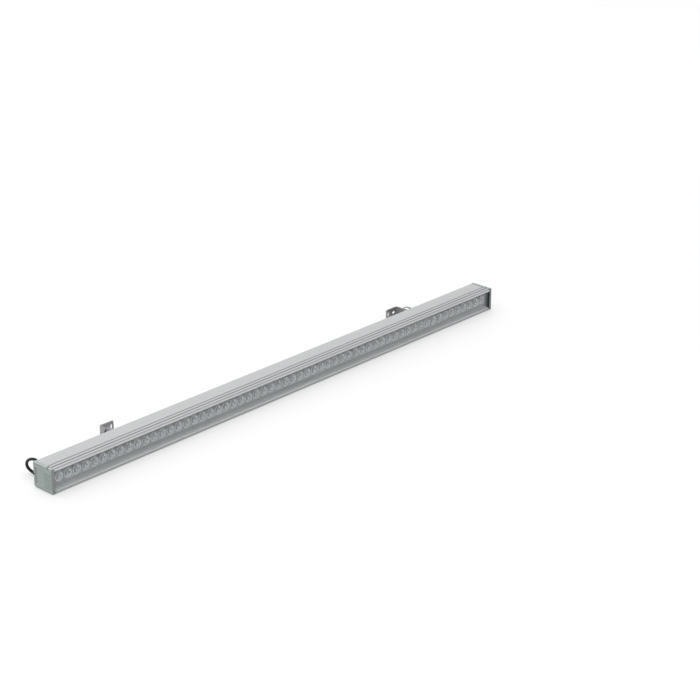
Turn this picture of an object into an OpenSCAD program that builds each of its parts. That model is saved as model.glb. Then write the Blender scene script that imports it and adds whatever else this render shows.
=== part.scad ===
// Outdoor linear wall washer lamp.
// X runs along the lamp, the window faces -Y, Z is up.
// The origin is on the resting plane, under the middle of the housing.

/* [Housing] */
// Length of the lamp over both end caps
overall_length = 1000; // [800:10:1200]
// Depth of the extruded housing, front to rear
profile_depth = 42; // [41:0.5:48]
// Height of the extruded housing
profile_height = 40; // [40:0.5:46]
// Thickness of the top, bottom and rear walls
wall = 2; // [1.8:0.1:2.4]
// Radius of the long lower rear edge
rear_low_r = 4; // [2:0.5:5]
// Radius of the long upper rear edge
rear_top_r = 1.2; // [0.8:0.1:2]
// Radius of the long lower front edge
front_edge_r = 0.8; // [0.4:0.1:1.5]
// Thickness of the inner web that carries the light boards
web_t = 3; // [2:0.5:3.5]
// Distance from the front of the housing to the front of the web
web_setback = 21; // [21:0.5:22]

/* [Window] */
// Height of the lower lip in front of the pane
lower_lip = 3.7; // [3.5:0.1:5]
// Distance from the top of the housing down to the window
upper_lip = 4.6; // [3.6:0.1:5]
// Distance from the front of the housing to the pane gasket
pane_recess = 4.2; // [3.6:0.1:4.4]
// Thickness of the glass pane
pane_t = 3; // [2.5:0.1:3.2]
// Thickness of the gasket wall on each face of the pane
gasket_t = 0.8; // [0.6:0.1:0.9]
// Depth of the groove that holds the gasket
pane_groove = 1.7; // [1.4:0.1:1.8]
// How far the gasket stands past the lip
gasket_proud = 1.3; // [0.8:0.1:1.6]
// Depth of the small step along the upper front edge
front_step_d = 1.6; // [1:0.1:3]
// Drop of the small step along the upper front edge
front_step_h = 2.2; // [1.6:0.1:2.3]

/* [Top grooves] */
// Distance from the front to the middle of the first groove
groove_front = 6.4; // [5.6:0.1:9.5]
// Width of the first groove
groove_front_w = 2.2; // [1.2:0.1:2.4]
// Distance from the front to the middle of the second groove
groove_back = 13.8; // [13:0.1:17]
// Width of the second groove
groove_back_w = 1.6; // [0.8:0.1:2]
// Depth of both grooves
groove_d = 1.2; // [0.5:0.1:1.2]

/* [Bracket slot] */
// Width of the mouth of the rear slot
slot_mouth = 4.6; // [4.6:0.1:5]
// Width of the cavity behind the mouth
slot_cavity_w = 8; // [8:0.1:9]
// Depth of the cavity behind the mouth
slot_cavity_d = 3.2; // [3.2:0.1:3.6]
// Thickness of the metal round the cavity
slot_wall = 1.2; // [1:0.1:1.4]

/* [End caps] */
// Thickness of an end cap
cap_t = 5; // [4:0.5:7]
// How far a cap stands proud of the housing at the top, front and rear
cap_proud = 0.5; // [0.3:0.1:1]
// Corner radius of a cap at the lower rear
cap_low_r = 4.5; // [3:0.5:6]
// Corner radius of a cap at the upper rear
cap_top_r = 1.6; // [1:0.1:2.5]
// Corner radius of a cap at the front
cap_front_r = 1.6; // [1:0.1:2.5]
// Rounding of the outer edges of a cap
cap_edge_r = 1.5; // [0.8:0.1:2]
// Thickness of the gasket under a cap
end_gasket_t = 0.8; // [0.5:0.1:1.2]
// Depth of the sunk panel in a cap
panel_sink = 1.2; // [0.6:0.1:1.6]
// Length of the plugs that a cap pushes into the housing
plug_len = 5; // [3:0.5:5.5]

/* [Lenses] */
// Distance between neighbouring lenses
lens_pitch = 16.58; // [16.5:0.02:20]
// Radius of a lens over its rim
lens_rim_r = 7.5; // [6.5:0.1:7.5]
// Radius of a lens holder over its rim
holder_r = 8.1; // [8.1:0.05:8.2]
// Least distance from the last lens to the end of the housing
row_margin = 12; // [11:0.5:20]
// How far the lens row sits above the middle of the window
row_lift = 1.4; // [0:0.1:1.6]
// Distance from the long edges of a light board to the walls of its chamber
board_edge_gap = 3; // [2:0.1:3.4]
// Thickness of a light board
board_t = 1.6; // [1.2:0.1:1.6]

/* [Brackets] */
// Distance from the end of the lamp to the outer face of a bracket
bracket_inset = 158; // [140:1:200]
// Width of a bracket plate along the lamp
bracket_w = 27.5; // [25:0.5:32]
// Thickness of the bracket steel
bracket_t = 2; // [1.5:0.1:2.5]
// Height of the foot plate on the housing
foot_h = 34; // [30:0.5:36]
// Radius of the round end of the foot flange
disc_r = 14; // [13.6:0.1:15]
// Distance from the housing to the tilt axis
pivot_out = 17; // [16:0.5:20]
// Distance from the tilt axis to the wall face
arm_reach = 26.5; // [24:0.5:40]
// Height of the wall plate
arm_h = 18; // [14:0.5:18.5]
// Radius of the lock screw's path round the tilt axis
lock_r = 10.5; // [10.2:0.1:10.8]
// Width of the curved lock slot
lock_slot_w = 3.6; // [3.6:0.1:3.8]
// Greatest tilt each way, in degrees
tilt_limit = 100; // [60:5:100]
// Width of the upright screw slot in the wall plate
tall_slot_w = 3.6; // [3.2:0.1:4.2]
// Length of the upright screw slot in the wall plate
tall_slot_l = 8; // [6:0.5:9]
// Width of the level screw slot in the wall plate
wide_slot_w = 4.6; // [4.2:0.1:5]
// Length of the level screw slot in the wall plate
wide_slot_l = 7.2; // [6.5:0.1:8]

/* [Fasteners] */
// Radius of the foot screws and of the pivot bolt
bolt_r = 2; // [1.8:0.1:2]
// Radius of the lock screws and of the board screws
small_screw_r = 1.5; // [1.3:0.1:1.5]

/* [Cable entry] */
// Distance from the end of the lamp to the cable entry
gland_inset = 18; // [18:0.5:30]
// Diameter of the cable
cable_d = 4.6; // [4:0.1:4.6]
// Radius of the gland's thread
gland_thread_r = 3.5; // [3.3:0.1:3.6]

/* [Hidden] */
$fn = 48;

// Shared clearances
cut = 1;                 // overrun of every cut
fit = 0.05;              // round pieces that turn or screw into each other
loose = 0.15;            // flat pieces that slide into each other

// Places that follow from the housing
profile_len = overall_length - 2 * (cap_t + end_gasket_t);
front_y = -profile_depth / 2;
rear_y = profile_depth / 2;
web_y = front_y + web_setback;
chamber_y = web_y + web_t;
window_top = profile_height - upper_lip;
row_z = (lower_lip + window_top) / 2 + row_lift;
slot_z = profile_height / 2;

// Pane and gaskets
groove_w = pane_t + 2 * gasket_t;
gasket_h = pane_groove + gasket_proud;
pane_y = front_y + pane_recess + gasket_t;
pane_low = lower_lip - pane_groove + gasket_t;
pane_high = window_top + pane_groove - gasket_t;

// Rear slot
lip_t = 1.8;
lip_y = rear_y - lip_t;
cavity_y = lip_y - slot_cavity_d;
channel_y = cavity_y - slot_wall;
channel_half = slot_cavity_w / 2 + slot_wall;
channel_low = slot_z - channel_half;
channel_high = slot_z + channel_half;

// Guide ribs of the driver board
rib_t = 1.1;
rib_h = 1.6;
driver_t = 1.6;
driver_setback_share = 0.225;
driver_y = chamber_y + driver_setback_share * (rear_y - wall - chamber_y);
driver_len = 160;
driver_end_gap = 64;
driver_x = -profile_len / 2 + driver_end_gap;

// Lens row
half_count = floor((profile_len / 2 - row_margin) / lens_pitch);
mid_half = floor(half_count / 3);
lens_gap = 0.1;
lens_front_y = front_y + pane_recess + groove_w - lens_gap;
board_y = web_y - board_t;
board_h = window_top - lower_lip - 2 * board_edge_gap;
board_screw_edge = 2.55;
board_screw_z = board_h / 2 - board_screw_edge;
board_hole_r = small_screw_r + fit;
lead_hole_r = 2;
lead_index = 1.5;

// Cable entry
gland_x = -overall_length / 2 + gland_inset;
lock_ring_t = 2.4;
lock_ring_flat = 8.9;
lock_ring_gap = 1.35;
top_gap = 0.2;
// over the rear slot, and still under the top wall on a low housing
lock_ring_low = min(channel_high + lock_ring_gap, profile_height - wall - top_gap - lock_ring_flat);
gland_z = lock_ring_low + lock_ring_flat / 2;
gland_flange_r = 5.5;
gland_flange_t = 2.4;
gland_cap_r = 5.2;
gland_cap_len = 7.6;
gland_cap_wall = 1.2;
gland_crown = 2;
gland_stem_in = 3.6;
cable_r = cable_d / 2;
exit_y = rear_y + gland_flange_t + gland_cap_len;

// Brackets
pivot_y = rear_y + pivot_out;
wall_y = pivot_y + arm_reach;
foot_hole_inset = 7.3;
foot_hole_gap = 13;
plate_corner_r = 2.5;
bend_r = 3;
tall_slot_edge = 4.5;
wide_slot_inset = 9;
lock_play = 0.1;
pivot_head_r = 3.9;
pivot_head_h = 2.8;
pivot_nut_h = 3.2;
pivot_tail = 1.2;
washer_r = 4.5;
washer_t = 0.8;
lock_head_r = 2.7;
lock_head_h = 1.8;
lock_nut_r = 3;
lock_nut_h = 2.2;
lock_tail = 0.8;

// Extrudes an outline drawn in Y and Z along X, from x to x + len
module along_x(x, len) {
  translate([x, 0, 0]) rotate([90, 0, 90]) linear_extrude(len) children();
}

// A cylinder along X
module rod_x(x, len, r) {
  translate([x, 0, 0]) rotate([0, 90, 0]) cylinder(h = len, r = r);
}

// A cylinder along Y
module rod_y(y, len, r) {
  translate([0, y, 0]) rotate([-90, 0, 0]) cylinder(h = len, r = r);
}

// A hexagonal bar along X, r over its corners, flats up and down
module hex_x(x, len, r) {
  translate([x, 0, 0]) rotate([0, 90, 0]) rotate([0, 0, 30]) cylinder(h = len, r = r, $fn = 6);
}

// A rectangle from the corner a to the corner b
module area(a, b) {
  translate(a) square([b[0] - a[0], b[1] - a[1]]);
}

// A box from the corner a to the corner b
module block(a, b) {
  translate(a) cube([b[0] - a[0], b[1] - a[1], b[2] - a[2]]);
}

// A rectangle from a to b with its own radius for the front corners, the low rear and the top rear corner
module round_area(a, b, front_r, low_r, top_r) {
  y = b[0] - low_r - top_r;
  area([a[0] + front_r, a[1]], [y, b[1]]);
  area([a[0], a[1] + front_r], [a[0] + front_r, b[1] - front_r]);
  area([y, a[1] + low_r], [b[0], b[1] - top_r]);
  area([y, a[1]], [b[0] - low_r, a[1] + low_r]);
  area([y, b[1] - top_r], [b[0] - top_r, b[1]]);
  for (z = [a[1] + front_r, b[1] - front_r]) translate([a[0] + front_r, z]) circle(front_r);
  translate([b[0] - low_r, a[1] + low_r]) circle(low_r);
  translate([b[0] - top_r, b[1] - top_r]) circle(top_r);
}

// Section of the extruded housing
module profile_section() {
  difference() {
    round_area([front_y, 0], [rear_y, profile_height], front_edge_r, rear_low_r, rear_top_r);
    // step along the upper front edge
    area([front_y - cut, profile_height - front_step_h], [front_y + front_step_d, profile_height + cut]);
    // light chamber, open to the front
    area([front_y - cut, lower_lip], [web_y, window_top]);
    // groove round the pane
    area([front_y + pane_recess, lower_lip - pane_groove],
         [front_y + pane_recess + groove_w, window_top + pane_groove]);
    // driver chamber
    area([chamber_y, wall], [rear_y - wall, profile_height - wall]);
    // grooves in the top
    for (g = [[groove_front, groove_front_w], [groove_back, groove_back_w]])
      area([front_y + g[0] - g[1] / 2, profile_height - groove_d],
           [front_y + g[0] + g[1] / 2, profile_height + cut]);
  }
  // guide ribs of the driver board
  for (y = [driver_y - loose - rib_t, driver_y + driver_t + loose], z = [wall, profile_height - wall - rib_h])
    area([y, z], [y + rib_t, z + rib_h]);
  // metal round the rear slot
  area([channel_y, channel_low], [rear_y - wall, channel_high]);
}

// Mouth and cavity of the rear slot
module slot_section() {
  area([cavity_y, slot_z - slot_cavity_w / 2], [lip_y, slot_z + slot_cavity_w / 2]);
  area([cavity_y, slot_z - slot_mouth / 2], [rear_y + cut, slot_z + slot_mouth / 2]);
}

// Places of the board screws: [x, z] beside the first and the last lens of each board
board_runs = [
  [-half_count, -mid_half - 1],
  [-mid_half, mid_half],
  [mid_half + 1, half_count]
];
screw_places = [
  for (run = board_runs, i = [run[0] + 0.5, run[1] - 0.5], s = [-1, 1])
    [i * lens_pitch, row_z + s * board_screw_z]
];
lead_hole_x = (lead_index - half_count) * lens_pitch;
lead_hole_z = row_z - board_screw_z;

module housing_profile() {
  color([0.80, 0.81, 0.82]) difference() {
    along_x(-profile_len / 2, profile_len) difference() {
      profile_section();
      slot_section();
    }
    // threaded entry of the gland
    translate([gland_x, 0, gland_z]) rod_y(rear_y - wall - cut, wall + 2 * cut, gland_thread_r + fit);
    // tapped holes of the light boards
    for (p = screw_places) translate([p[0], 0, p[1]]) rod_y(web_y - cut, web_t + 2 * cut, board_hole_r);
    // hole for the output leads
    translate([lead_hole_x, 0, lead_hole_z]) rod_y(web_y - cut, web_t + 2 * cut, lead_hole_r);
  }
}

module window_pane() {
  color([0.82, 0.88, 0.90, 0.35])
    along_x(-profile_len / 2, profile_len) area([pane_y, pane_low], [pane_y + pane_t, pane_high]);
}

// U-shaped gasket on one long edge of the pane, from its groove's floor at z towards dir
module pane_gasket(z, dir) {
  color([0.50, 0.51, 0.52]) along_x(-profile_len / 2, profile_len) difference() {
    area([pane_y - gasket_t, min(z, z + dir * gasket_h)],
         [pane_y + pane_t + gasket_t, max(z, z + dir * gasket_h)]);
    area([pane_y, min(z + dir * gasket_t, z + dir * (gasket_h + cut))],
         [pane_y + pane_t, max(z + dir * gasket_t, z + dir * (gasket_h + cut))]);
  }
}
module pane_gasket_lower() { pane_gasket(lower_lip - pane_groove, 1); }
module pane_gasket_upper() { pane_gasket(window_top + pane_groove, -1); }

// End caps. Both are drawn at the left end; the right one is the mirror image.
cap_y0 = front_y - cap_proud;
cap_y1 = rear_y + cap_proud;
cap_h = profile_height + cap_proud;
cap_x = -overall_length / 2;
panel_front = 19;        // from the front of the cap to the sunk panel
panel_rear = 4.8;        // from the rear of the cap to the sunk panel
panel_low = 5.4;
panel_slope = 2.6;
panel_high = 7.2;        // from the top of the cap down to the sunk panel
top_notch_back = 9.8;    // from the front of the housing to the middle of the notch
top_notch_r = 1.5;
top_notch_in = 2;
rear_notch_d = 2.8;
foot_notch_r = 0.7;
foot_notch_shares = [0.17, 0.31, 0.43, 0.59];
plug_wall = 1.4;
plug_gap = 0.2;

module cap_outline() {
  round_area([cap_y0, 0], [cap_y1, cap_h], cap_front_r, cap_low_r, cap_top_r);
}

// Corner rounding of the outer face, as an outline in X and one other direction
module edge_outline(a, b) {
  area([cap_x + cap_edge_r, a], [cap_x + cap_t, b]);
  area([cap_x, a + cap_edge_r], [cap_x + cap_edge_r, b - cap_edge_r]);
  for (s = [a + cap_edge_r, b - cap_edge_r]) translate([cap_x + cap_edge_r, s]) circle(cap_edge_r);
}

// One plug of a cap, a short open box that enters the driver chamber
module cap_plug(z0, z1) {
  y0 = driver_y + driver_t + loose + rib_t + plug_gap;
  y1 = rear_y - wall - plug_gap;
  difference() {
    block([cap_x + cap_t, y0, z0], [cap_x + cap_t + end_gasket_t + plug_len, y1, z1]);
    block([cap_x + cap_t + end_gasket_t, y0 + plug_wall, z0 + plug_wall],
          [cap_x + cap_t + end_gasket_t + plug_len + cut, y1 - plug_wall, z1 - plug_wall]);
  }
}
plug_inner = channel_half + plug_gap;

module end_cap() {
  color([0.62, 0.67, 0.65]) {
    difference() {
      intersection() {
        along_x(cap_x, cap_t) cap_outline();
        linear_extrude(cap_h) edge_outline(cap_y0, cap_y1);
        translate([0, cap_y1, 0]) rotate([90, 0, 0]) linear_extrude(cap_y1 - cap_y0) edge_outline(0, cap_h);
      }
      // sunk panel with a sloping lower side
      translate([0, cap_y1 - panel_rear, 0]) rotate([90, 0, 0])
        linear_extrude(cap_y1 - cap_y0 - panel_rear - panel_front)
          polygon([
            [cap_x - cut, panel_low],
            [cap_x, panel_low],
            [cap_x + panel_sink, panel_low + panel_slope],
            [cap_x + panel_sink, cap_h - panel_high],
            [cap_x - cut, cap_h - panel_high]
          ]);
      // notch in the top edge
      translate([0, front_y + top_notch_back, cap_h - top_notch_in])
        rod_x(cap_x - cut, cap_t + 2 * cut, top_notch_r);
      block([cap_x - cut, front_y + top_notch_back - top_notch_r, cap_h - top_notch_in],
            [cap_x + cap_t + cut, front_y + top_notch_back + top_notch_r, cap_h + cut]);
      // notch that leaves the rear slot open
      block([cap_x - cut, cap_y1 - rear_notch_d, slot_z - slot_mouth / 2],
            [cap_x + cap_t + cut, cap_y1 + cut, slot_z + slot_mouth / 2]);
      // small notches in the lower outer edge
      for (share = foot_notch_shares)
        translate([0, cap_y0 + share * (cap_y1 - cap_y0), cap_edge_r])
          rod_x(cap_x - cut, cap_edge_r + cut, foot_notch_r);
    }
    cap_plug(wall + plug_gap, slot_z - plug_inner);
    cap_plug(slot_z + plug_inner, profile_height - wall - plug_gap);
  }
}
module end_cap_left() { end_cap(); }
module end_cap_right() { mirror([1, 0, 0]) end_cap(); }

// Flat gasket between a cap and the housing, open where the plugs pass
gasket_inset = 0.6;
module end_gasket() {
  y0 = driver_y + driver_t + loose + rib_t;
  color([0.16, 0.16, 0.17]) along_x(cap_x + cap_t, end_gasket_t) difference() {
    round_area([front_y + gasket_inset, gasket_inset], [rear_y - gasket_inset, profile_height - gasket_inset],
               front_edge_r, rear_low_r - gasket_inset, rear_top_r - gasket_inset);
    area([front_y - cut, window_top + pane_groove], [front_y + pane_recess, profile_height + cut]);
    area([y0, wall], [rear_y - wall, slot_z - plug_inner + plug_gap]);
    area([y0, slot_z + plug_inner - plug_gap], [rear_y - wall, profile_height - wall]);
    area([rear_y - rear_notch_d, slot_z - slot_mouth / 2], [rear_y + cut, slot_z + slot_mouth / 2]);
  }
}
module end_gasket_left() { end_gasket(); }
module end_gasket_right() { mirror([1, 0, 0]) end_gasket(); }

// One light board, between the lenses first and last
board_gap = 0.3;
module light_board(run) {
  x0 = (run[0] - 0.5) * lens_pitch + board_gap / 2;
  x1 = (run[1] + 0.5) * lens_pitch - board_gap / 2;
  color([0.55, 0.56, 0.57]) difference() {
    block([x0, board_y, row_z - board_h / 2], [x1, web_y, row_z + board_h / 2]);
    for (p = screw_places) if (p[0] > x0 && p[0] < x1)
      translate([p[0], 0, p[1]]) rod_y(board_y - cut, board_t + 2 * cut, board_hole_r);
    if (lead_hole_x > x0 && lead_hole_x < x1)
      translate([lead_hole_x, 0, lead_hole_z]) rod_y(board_y - cut, board_t + 2 * cut, lead_hole_r);
  }
}
module light_board_left() { light_board(board_runs[0]); }
module light_board_middle() { light_board(board_runs[1]); }
module light_board_right() { light_board(board_runs[2]); }

// Repeats a piece at every lens, its axis along -Y from the face of the board
module at_lenses() {
  for (i = [-half_count : half_count])
    translate([i * lens_pitch, board_y, row_z]) rotate([90, 0, 0]) children();
}

led_w = 3.4;
led_hole_share = 0.75;
led_h = 0.8;
led_dome_r = 1.3;
module leds() {
  color([0.95, 0.90, 0.60]) at_lenses() {
    translate([-led_w / 2, -led_w / 2, 0]) cube([led_w, led_w, led_h]);
    translate([0, 0, led_h]) intersection() {
      sphere(led_dome_r);
      cylinder(h = led_dome_r, r = led_dome_r);
    }
  }
}

// A holder is a cup that widens to the rim and carries the lens on its step
optic_h = board_y - lens_front_y;
rim_t = 1.2;
holder_base_r = 5.4;
holder_wall = 0.5;
holder_floor = 1;
lens_base_r = 3.6;
lens_pocket_r = 2;
lens_pocket_share = 0.8;
lens_pocket_h = 4;
lens_button_r = 3;
lens_button_share = 0.85;
lens_button_sink = 1.6;
lens_fit = 0.05;
holder_mouth_r = holder_r - holder_wall;
module lens_holders() {
  color([0.50, 0.50, 0.51]) at_lenses() rotate_extrude() polygon([
    [led_w * led_hole_share, 0],
    [holder_base_r, 0],
    [holder_base_r, holder_floor],
    [holder_r, optic_h - 2 * rim_t],
    [holder_r, optic_h],
    [holder_mouth_r, optic_h],
    [holder_mouth_r, optic_h - rim_t],
    [lens_rim_r - rim_t + fit, optic_h - rim_t],
    [lens_base_r + holder_wall, holder_floor + lens_fit],
    [led_w * led_hole_share, holder_floor + lens_fit]
  ]);
}

// A collimator: a clear cone with a pocket over the light source and a lens in its floor
module lenses() {
  color([0.90, 0.94, 0.97, 0.5]) at_lenses() rotate_extrude() polygon([
    [0, holder_floor + lens_fit + lens_pocket_h],
    [lens_pocket_r * lens_pocket_share, holder_floor + lens_fit + lens_pocket_h],
    [lens_pocket_r, holder_floor + lens_fit],
    [lens_base_r, holder_floor + lens_fit],
    [lens_rim_r - rim_t - fit, optic_h - rim_t],
    [lens_rim_r, optic_h - rim_t],
    [lens_rim_r, optic_h],
    [lens_button_r, optic_h],
    [lens_button_r * lens_button_share, optic_h - lens_button_sink],
    [0, optic_h - lens_button_sink]
  ]);
}

board_head_r = 2.6;
board_head_h = 1.7;
board_screw_len = 5;
module board_screws() {
  color([0.70, 0.70, 0.70]) for (p = screw_places) translate([p[0], 0, p[1]]) {
    rod_y(board_y - board_head_h, board_head_h, board_head_r);
    rod_y(board_y, board_screw_len, small_screw_r);
  }
}

// Small blocks that join the boards, and one that feeds them beside the lead hole
connector_l = 7;
connector_t = 2.4;
connector_h = 3.6;
connector_z = row_z + board_screw_z;
feed_x = lead_hole_x + lead_hole_r + connector_l / 2;
connector_places = [
  [feed_x, lead_hole_z],
  [(-mid_half - 0.5) * lens_pitch, connector_z],
  [(mid_half + 0.5) * lens_pitch, connector_z],
  [(half_count + 0.5) * lens_pitch - connector_l / 2, row_z - board_screw_z]
];
module board_connectors() {
  color([0.85, 0.85, 0.82]) for (p = connector_places)
    block([p[0] - connector_l / 2, board_y - connector_t, p[1] - connector_h / 2],
          [p[0] + connector_l / 2, board_y, p[1] + connector_h / 2]);
}

// Driver board and what is soldered to its rear face: tall parts above and below the rear slot,
// as deep as the chamber lets them, and flat chips in front of it
part_y = driver_y + driver_t;
part_room = rear_y - wall - part_y;
row_room = channel_low - wall - rib_h;
low_row_z = wall + rib_h + row_room / 2;
high_row_z = channel_high + row_room / 2;
module driver_board() {
  color([0.10, 0.35, 0.20])
    block([driver_x, driver_y, wall], [driver_x + driver_len, part_y, profile_height - wall - loose]);
}
transformer_x = 66;
transformer_len = 16;
transformer_shares = [0.80, 0.84];
core_t = 2;
module driver_transformer() {
  x = driver_x + transformer_x;
  depth = transformer_shares[0] * part_room;
  half = transformer_shares[1] * row_room / 2;
  color([0.30, 0.28, 0.24]) {
    for (s = [0, transformer_len - core_t])
      block([x + s, part_y, high_row_z - half], [x + s + core_t, part_y + depth, high_row_z + half]);
    block([x + core_t / 2, part_y, high_row_z - half + core_t / 2],
          [x + transformer_len - core_t / 2, part_y + depth, high_row_z + half - core_t / 2]);
  }
}
inductor_x = 110;
inductor_shares = [0.60, 0.39];
inductor_rim_share = 0.2;
inductor_waist_share = 0.8;
module driver_inductor() {
  h = inductor_shares[0] * part_room;
  r = inductor_shares[1] * row_room;
  color([0.25, 0.25, 0.27]) translate([driver_x + inductor_x, 0, high_row_z]) {
    rod_y(part_y, h, inductor_waist_share * r);
    rod_y(part_y + (1 - inductor_rim_share) * h, inductor_rim_share * h, r);
    rod_y(part_y, inductor_rim_share * h, r);
  }
}
capacitor_places = [46, 92];
capacitor_shares = [0.74, 0.36];
module driver_capacitors() {
  color([0.16, 0.20, 0.30]) for (x = capacitor_places)
    translate([driver_x + x, 0, low_row_z])
      rod_y(part_y, capacitor_shares[0] * part_room, capacitor_shares[1] * row_room);
}
chip_w = 6;
chip_h = 5;
chip_share = 0.25;
chip_places = [34, 78, 128];
module driver_chips() {
  color([0.08, 0.08, 0.09]) for (x = chip_places)
    translate([driver_x + x, part_y, slot_z - chip_h / 2])
      cube([chip_w, chip_share * (channel_y - part_y), chip_h]);
}
terminal_len = 8;
terminal_shares = [0.55, 0.70];
terminal_edge = 2;
terminal_d = terminal_shares[0] * part_room;
terminal_h = terminal_shares[1] * row_room;
module driver_terminals() {
  color([0.20, 0.45, 0.25]) for (z = [low_row_z, high_row_z])
    translate([driver_x + terminal_edge, part_y, z - terminal_h / 2])
      cube([terminal_len, terminal_d, terminal_h]);
}

// Cable gland, with its axis along Y
module at_gland() {
  translate([gland_x, 0, gland_z]) children();
}
module gland_body() {
  color([0.90, 0.91, 0.90]) at_gland() difference() {
    union() {
      rod_y(rear_y - wall - gland_stem_in, wall + gland_stem_in, gland_thread_r);
      rod_y(rear_y, gland_flange_t, gland_flange_r);
      rod_y(rear_y + gland_flange_t, gland_cap_len / 2, gland_thread_r);
    }
    rod_y(rear_y - wall - gland_stem_in - cut, wall + gland_stem_in + gland_flange_t + cut, cable_r + fit);
    rod_y(rear_y + gland_flange_t, gland_cap_len, cable_r + seal_t);
  }
}
seal_t = 0.6;
seal_fit = 0.02;
module gland_lock_nut() {
  y0 = rear_y - wall - lock_ring_t;
  color([0.85, 0.86, 0.85]) at_gland() difference() {
    translate([0, y0, 0]) rotate([-90, 0, 0])
      cylinder(h = lock_ring_t, r = lock_ring_flat / 2 / cos(30), $fn = 6);
    rod_y(y0 - cut, lock_ring_t + 2 * cut, gland_thread_r + fit);
  }
}
module gland_seal() {
  color([0.20, 0.20, 0.21]) at_gland() difference() {
    rod_y(rear_y + gland_flange_t, gland_cap_len - gland_cap_wall, cable_r + seal_t - seal_fit);
    rod_y(rear_y + gland_flange_t - cut, gland_cap_len + 2 * cut, cable_r + seal_fit);
  }
}
module gland_cap() {
  y0 = rear_y + gland_flange_t;
  color([0.93, 0.94, 0.93]) at_gland() difference() {
    union() {
      rod_y(y0, gland_cap_len - gland_crown, gland_cap_r);
      intersection() {
        rod_y(y0, gland_cap_len, gland_cap_r);
        translate([0, y0 + gland_cap_len - gland_crown, 0]) rotate([-90, 0, 0]) rotate_extrude()
          polygon([[0, 0], [gland_cap_r, 0], [gland_cap_r - gland_crown / 2, gland_crown], [0, gland_crown]]);
      }
    }
    rod_y(y0 - cut, gland_cap_len / 2 + cut, gland_thread_r + fit);
    rod_y(y0 - cut, gland_cap_len - gland_cap_wall + cut, cable_r + seal_t + seal_fit);
    rod_y(y0, gland_cap_len + cut, cable_r + fit);
  }
}

// The stretch of cable inside the gland
entry_tail = 2;
entry_y = rear_y - wall - gland_stem_in - entry_tail;
module cable_entry() {
  color([0.08, 0.08, 0.08]) at_gland() rod_y(entry_y, exit_y - entry_y, cable_r);
}

// Tubes swept along a list of points. Each ring stands square to the path there,
// and its first spoke is the last ring's, turned as little as possible.
function unit(v) = v / norm(v);
function heading(p, i) = unit(p[min(i + 1, len(p) - 1)] - p[max(i - 1, 0)]);
function square_to(v, t) = unit(v - (v * t) * t);
function spokes(p, first) = [
  for (i = 0, s = square_to(first, heading(p, 0)); i < len(p);
       i = i + 1, s = i < len(p) ? square_to(s, heading(p, i)) : s) s
];
module tube(p, r, sides, first) {
  s = spokes(p, first);
  n = len(p);
  points = [
    for (i = [0 : n - 1], k = [0 : sides - 1])
      let (t = heading(p, i), a = 360 * k / sides)
        p[i] + r * (cos(a) * s[i] + sin(a) * cross(t, s[i]))
  ];
  faces = concat(
    [for (k = [1 : sides - 2]) [0, k + 1, k]],
    [for (k = [1 : sides - 2]) [(n - 1) * sides, (n - 1) * sides + k, (n - 1) * sides + k + 1]],
    [for (i = [0 : n - 2], k = [0 : sides - 1])
      [i * sides + k, i * sides + (k + 1) % sides, (i + 1) * sides + (k + 1) % sides]],
    [for (i = [0 : n - 2], k = [0 : sides - 1])
      [i * sides + k, (i + 1) * sides + (k + 1) % sides, (i + 1) * sides + k]]
  );
  polyhedron(points, [for (f = faces) [f[2], f[1], f[0]]]);
}

// Leads inside the housing, from the cable to the driver and on to the light boards
lead_r = 0.8;
lead_sides = 8;
lead_side_gap = 1.1;
lead_bow = 3;
lead_out = 1.2;
lead_dip = 0.3;
lead_run = 6;
lead_start = [gland_x, entry_y, gland_z];
terminal_face = driver_x + terminal_edge;
terminal_mid_y = part_y + terminal_d / 2;
module input_lead(s) {
  a = lead_start + [0, 0, s * lead_side_gap];
  b = [terminal_face, terminal_mid_y, high_row_z + s * lead_side_gap];
  tube([
    a,
    a - [0, lead_out, 0],
    [a[0] + lead_out, a[1] - lead_out - lead_dip, a[2]],
    [a[0] + lead_run, b[1], a[2]],
    [(a[0] + b[0]) / 2, b[1], (a[2] + b[2]) / 2],
    [b[0] - lead_run - lead_bow, b[1], b[2]],
    b
  ], lead_r, lead_sides, [0, 0, 1]);
}
module input_lead_red() { color([0.75, 0.10, 0.10]) input_lead(1); }
module input_lead_black() { color([0.05, 0.05, 0.05]) input_lead(-1); }
module output_lead(s) {
  a = [terminal_face, terminal_mid_y, low_row_z + s * lead_side_gap];
  b = [lead_hole_x, web_y, lead_hole_z + s * lead_side_gap];
  c = [feed_x - connector_l / 2, board_y - connector_t / 2, b[2]];
  tube([
    a,
    a - [lead_run, 0, 0],
    [b[0] + lead_bow, a[1], b[2]],
    [b[0] + lead_out - lead_dip, a[1] - lead_out, b[2]],
    [b[0], a[1] - lead_bow, b[2]],
    b,
    [b[0], board_y, b[2]],
    [b[0] + 1.5 * lead_dip, c[1] + lead_dip, b[2]],
    [(b[0] + c[0]) / 2 + lead_dip, c[1], c[2]],
    c
  ], lead_r, lead_sides, [0, 0, 1]);
}
module output_lead_red() { color([0.75, 0.10, 0.10]) output_lead(1); }
module output_lead_black() { color([0.05, 0.05, 0.05]) output_lead(-1); }

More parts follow.
